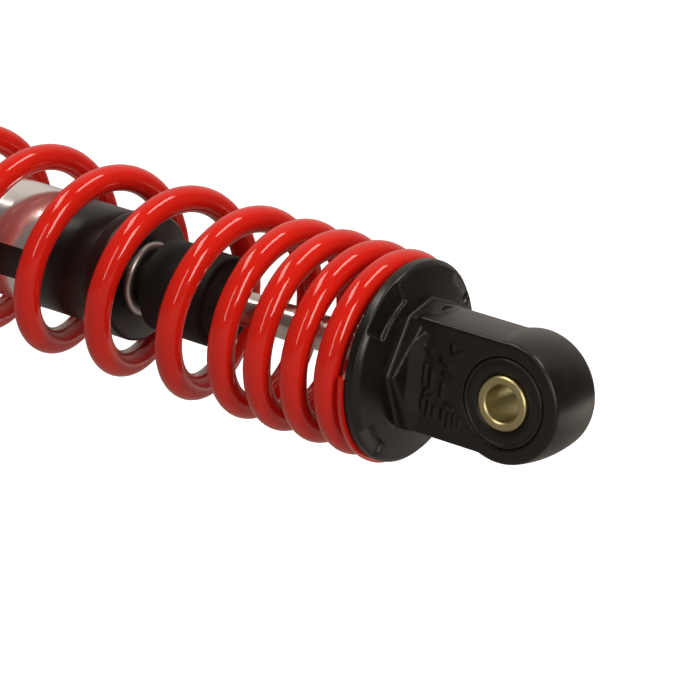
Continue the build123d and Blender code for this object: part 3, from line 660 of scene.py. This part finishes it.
def bare_metal(name, tone, roughness, line_mm, strength):
    surface = {"Base Color": srgb(tone), "Metallic": 1.0, "Roughness": roughness}
    material, tree, shader, place = new_finish(name, surface)
    drawn_out = add(tree, "Mapping", {"Vector": place, "Scale": LINE_STRETCH}).outputs["Vector"]
    lines = add(tree, "TexNoise", {"Vector": drawn_out, "Scale": per_mm(line_mm), "Detail": 3.0})
    bump = add(tree, "Bump", {"Height": lines.outputs["Fac"], "Strength": strength, "Distance": 0.02 * MM})
    fill(shader, {"Normal": bump.outputs["Normal"]})
    return material


# Ground and polished chrome gives the eye a clear mirror, with long streaks of light down the rod.
dress(bare_metal("ground_hard_chrome", "#CFC8C2", 0.18, 0.3, 0.1), "piston_rod")
# Tumbling rounds the ring and leaves a soft shine, which reads as one pale crescent.
dress(bare_metal("tumbled_bright_steel", "#CDC6C4", 0.38, 0.3, 0.1), "wiper_retainer")
# Zinc with a yellow passivate gives the eye a greenish gold, with a glint on the chamfers.
dress(bare_metal("yellow_passivated_steel", "#B9B083", 0.4, 0.25, 0.3), "rod_eye_sleeve", "body_eye_sleeve")

# %% [markdown]
# The other metals lie inside the damper, where oil keeps them clean. They show when the shock is taken
# apart: mid grey ground steel, bluish plated nuts, dark sintered iron with a porous dullness, and the warm
# bronze of the rod's bearing.

# %% Metals inside the damper
dress(bare_metal("bright_ground_steel", "#A8A8AA", 0.3, 0.3, 0.3),
      "pressure_tube", "foot_valve_plate", "foot_valve_spring", "foot_valve_rivet", "seal_garter_spring",
      "stop_collar", "backing_washer", "check_shims", "rebound_shims", "nut_washer")
dress(bare_metal("zinc_plated_steel", "#B4B8BA", 0.32, 0.4, 0.2), "piston_nut", "lock_nut")
dress(bare_metal("machined_sintered_iron", "#6A6A6C", 0.45, 0.5, 0.5),
      "foot_valve_body", "rod_guide", "piston")
dress(bare_metal("rolled_bronze", "#B08A52", 0.3, 0.4, 0.3), "rod_guide_bush")

# %% [markdown]
# ## Floor, room and lamps
# The shock hangs by its body's eye in a white studio. The floor could touch it, but then its underside would
# be dark. It lies well below instead, so that soft light comes back up from it.

# %% A plain floor
FLOOR_DROP, FLOOR_SIZE = 0.35, 8.0
floor = new_primitive("plane", "studio_floor", size=FLOOR_SIZE, location=(rod_eye_x / 2, 0, -FLOOR_DROP))
print("the floor is", FLOOR_DROP, "m below the bores")

# %% [markdown]
# The floor is matt pale grey paint. Lamps strong enough to make it white would burn out the shock, so it
# glows a little where the camera looks straight at it, and only there. The glow is weaker under the shock,
# so that the floor keeps a faint shadow.

# %% Paint that keeps the shadow
WHITE = (1, 1, 1, 1)
SHADOW_TO, WHITE_FROM = 0.25, 0.5  # metres from the middle of the floor
SHADOW_GLOW = 0.72


def direct_view(tree):
    """One where the camera looks straight at it or through clear pieces, nought for every bounce."""
    rays = add(tree, "LightPath")
    return add(tree, "Math", {0: rays.outputs["Is Camera Ray"], 1: rays.outputs["Is Transmission Ray"]},
               operation="MAXIMUM").outputs["Value"]


def matt_floor_paint():
    surface = {"Base Color": srgb("#9E9C9A"), "Roughness": 0.9}
    material, tree, shader, place = new_finish("white_studio_floor", surface)
    from_middle = add(tree, "VectorMath", {0: place}, operation="LENGTH").outputs["Value"]
    glow = add(tree, "MapRange", {"Value": from_middle, "From Min": SHADOW_TO, "From Max": WHITE_FROM,
                                  "To Min": SHADOW_GLOW, "To Max": 1.0})
    seen = add(tree, "Math", {0: glow.outputs["Result"], 1: direct_view(tree)}, operation="MULTIPLY")
    white = add(tree, "Emission", {"Color": WHITE, "Strength": seen.outputs["Value"]})
    both = add(tree, "AddShader", {0: shader.outputs["BSDF"], 1: white.outputs["Emission"]})
    fill(tree.nodes["Material Output"], {"Surface": both.outputs["Shader"]})
    return material


floor.data.materials.append(matt_floor_paint())
print("the floor glows at", SHADOW_GLOW, "under the shock and is white from", WHITE_FROM, "m on")

# %% [markdown]
# Where the camera looks straight at the room, it is white. The shock itself sees a dimmer room, with one
# pale backdrop behind and above it. An evenly white room would be simpler, but gloss and metal mirror all of
# it, and then the black looks grey and the red pink. The light is a little warm, as studio lamps are.

# %% A dim room with one pale backdrop
BACKDROP = (-0.45, 0.68, 0.58)            # direction of its middle, of length 1
BACKDROP_EDGE, BACKDROP_FULL = 0.5, 0.95  # cosine of the angle from there
ROOM_LIGHT, BACKDROP_LIGHT = 0.12, 0.68
WARM = srgb("#FFF3E7")


def studio_room():
    world = bpy.data.worlds.new("studio")
    world.use_nodes = True
    tree = world.node_tree
    direction = add(tree, "TexCoord").outputs["Generated"]
    towards = add(tree, "VectorMath", {0: direction, 1: BACKDROP}, operation="DOT_PRODUCT")
    room = add(tree, "MapRange", {"Value": towards.outputs["Value"], "From Min": BACKDROP_EDGE,
                                  "From Max": BACKDROP_FULL, "To Min": ROOM_LIGHT, "To Max": BACKDROP_LIGHT})
    seen = direct_view(tree)
    light = add(tree, "MapRange", {"Value": seen, "To Min": room.outputs["Result"], "To Max": 1.0})
    tint = add(tree, "MixRGB", {"Fac": seen, "Color1": WARM, "Color2": WHITE})
    fill(tree.nodes["Background"], {"Color": tint.outputs["Color"], "Strength": light.outputs["Result"]})
    return world


bpy.context.scene.world = studio_room()
print("the room's light runs from", ROOM_LIGHT, "to", BACKDROP_LIGHT)

# %% [markdown]
# Four soft boxes stand round the shock. A bright sky would light it as well, but gloss paint shows each lamp
# as a streak, and lamps can be moved one by one until each streak lies where it should. The two tall boxes
# on the viewer's side draw the sharp lines on the turns of the spring, and the two banks above draw the
# broad light along the top of the neck, the eye and the tube.

# %% Soft boxes
LAMP_DISTANCE = 2.5
AIM_BACK = 0.07  # from the bore of the rod's eye towards the body
lit_place = Vector((rod_eye_x - AIM_BACK, 0, 0))


def soft_box(name, azimuth, height, wide, tall, power):
    """An area lamp. Its place and size are angles in degrees, as seen from the shock, and azimuth runs
    from the viewer's side (-Y) towards +X."""
    lamp = bpy.data.lights.new(name, "AREA")
    lamp.shape = "RECTANGLE"
    lamp.size = 2 * LAMP_DISTANCE * math.tan(math.radians(wide / 2))
    lamp.size_y = 2 * LAMP_DISTANCE * math.tan(math.radians(tall / 2))
    lamp.energy = power
    lamp.color = WARM[:3]
    obj = bpy.data.objects.new(name, lamp)
    bpy.context.scene.collection.objects.link(obj)
    turn, rise = math.radians(azimuth), math.radians(height)
    aim = Vector((math.sin(turn) * math.cos(rise), -math.cos(turn) * math.cos(rise), math.sin(rise)))
    obj.location = lit_place + LAMP_DISTANCE * aim
    obj.rotation_euler = aim.to_track_quat("Z", "Y").to_euler()
    print(name, "is", round(lamp.size, 2), "by", round(lamp.size_y, 2), "m at", power, "W")
    return obj


soft_box("right_box", 64, 22, 13, 34, 27)
soft_box("front_box", 15, 17, 9, 36, 11)
soft_box("left_bank", -45, 61, 38, 12.5, 24.5)
soft_box("right_bank", 108, 67, 32, 13.5, 24)

# %% [markdown]
# A fifth lamp hangs behind the shock, beyond the rod's eye, and shines straight down. Its beam is too narrow
# to reach the shock. It lights a patch of floor, which the end of the eye and the undersides mirror.

# %% A wash on the floor
WASH_OFFSET = Vector((0.75, 1.1, 0.6))  # from the bore of the rod's eye
WASH_SPREAD = math.radians(55)
floor_wash = soft_box("floor_wash", 0, 90, 22, 22, 12)
floor_wash.location = Vector((rod_eye_x, 0, 0)) + WASH_OFFSET
floor_wash.data.spread = WASH_SPREAD
print("the wash hangs at", [round(value, 2) for value in floor_wash.location])

# %% [markdown]
# ## Camera
# The camera looks at the rod's eye from a little above and from beyond the eye, so that the shock runs away
# to the left. It is also rolled a little. Its three directions are worked out once, because both its turn
# and its shift need them.

# %% Which way the camera looks
AZIMUTH, ELEVATION, ROLL = math.radians(33.54), math.radians(17.86), math.radians(6.04)


def look_from(azimuth, elevation, roll):
    """The camera's right, up and backward directions."""
    back = Vector((math.sin(azimuth) * math.cos(elevation), -math.cos(azimuth) * math.cos(elevation),
                   math.sin(elevation)))
    level_right = Vector((math.cos(azimuth), math.sin(azimuth), 0))
    right = math.cos(roll) * level_right + math.sin(roll) * back.cross(level_right)
    return right, back.cross(right), back


right, up, back = look_from(AZIMUTH, ELEVATION, ROLL)
print("the camera looks along", [round(-value, 3) for value in back])

# %% [markdown]
# A long lens from a metre away keeps the near end from swelling, as in a catalogue view. The camera is then
# shifted sideways and up, which puts the eye right of the middle and lets the spring run out of the frame.

# %% Camera
CAMERA_DISTANCE = 0.9987
LENS_MM, SENSOR_MM = 196.1, 36.0
SIDE_SHIFT, UP_SHIFT = -45.3 * MM, 12.05 * MM
NEAREST, FARTHEST = 0.05, 50
camera_data = bpy.data.cameras.new("camera")
camera_data.lens = LENS_MM
camera_data.sensor_width = SENSOR_MM
camera_data.clip_start = NEAREST
camera_data.clip_end = FARTHEST
camera = bpy.data.objects.new("camera", camera_data)
bpy.context.scene.collection.objects.link(camera)
place = Vector((rod_eye_x, 0, 0)) + back * CAMERA_DISTANCE + right * SIDE_SHIFT + up * UP_SHIFT
camera.matrix_world = Matrix.Translation(place) @ Matrix((right, up, back)).transposed().to_4x4()
bpy.context.scene.camera = camera
bpy.context.scene.view_settings.view_transform = "Standard"
print("the camera stands at", [round(value, 3) for value in place])
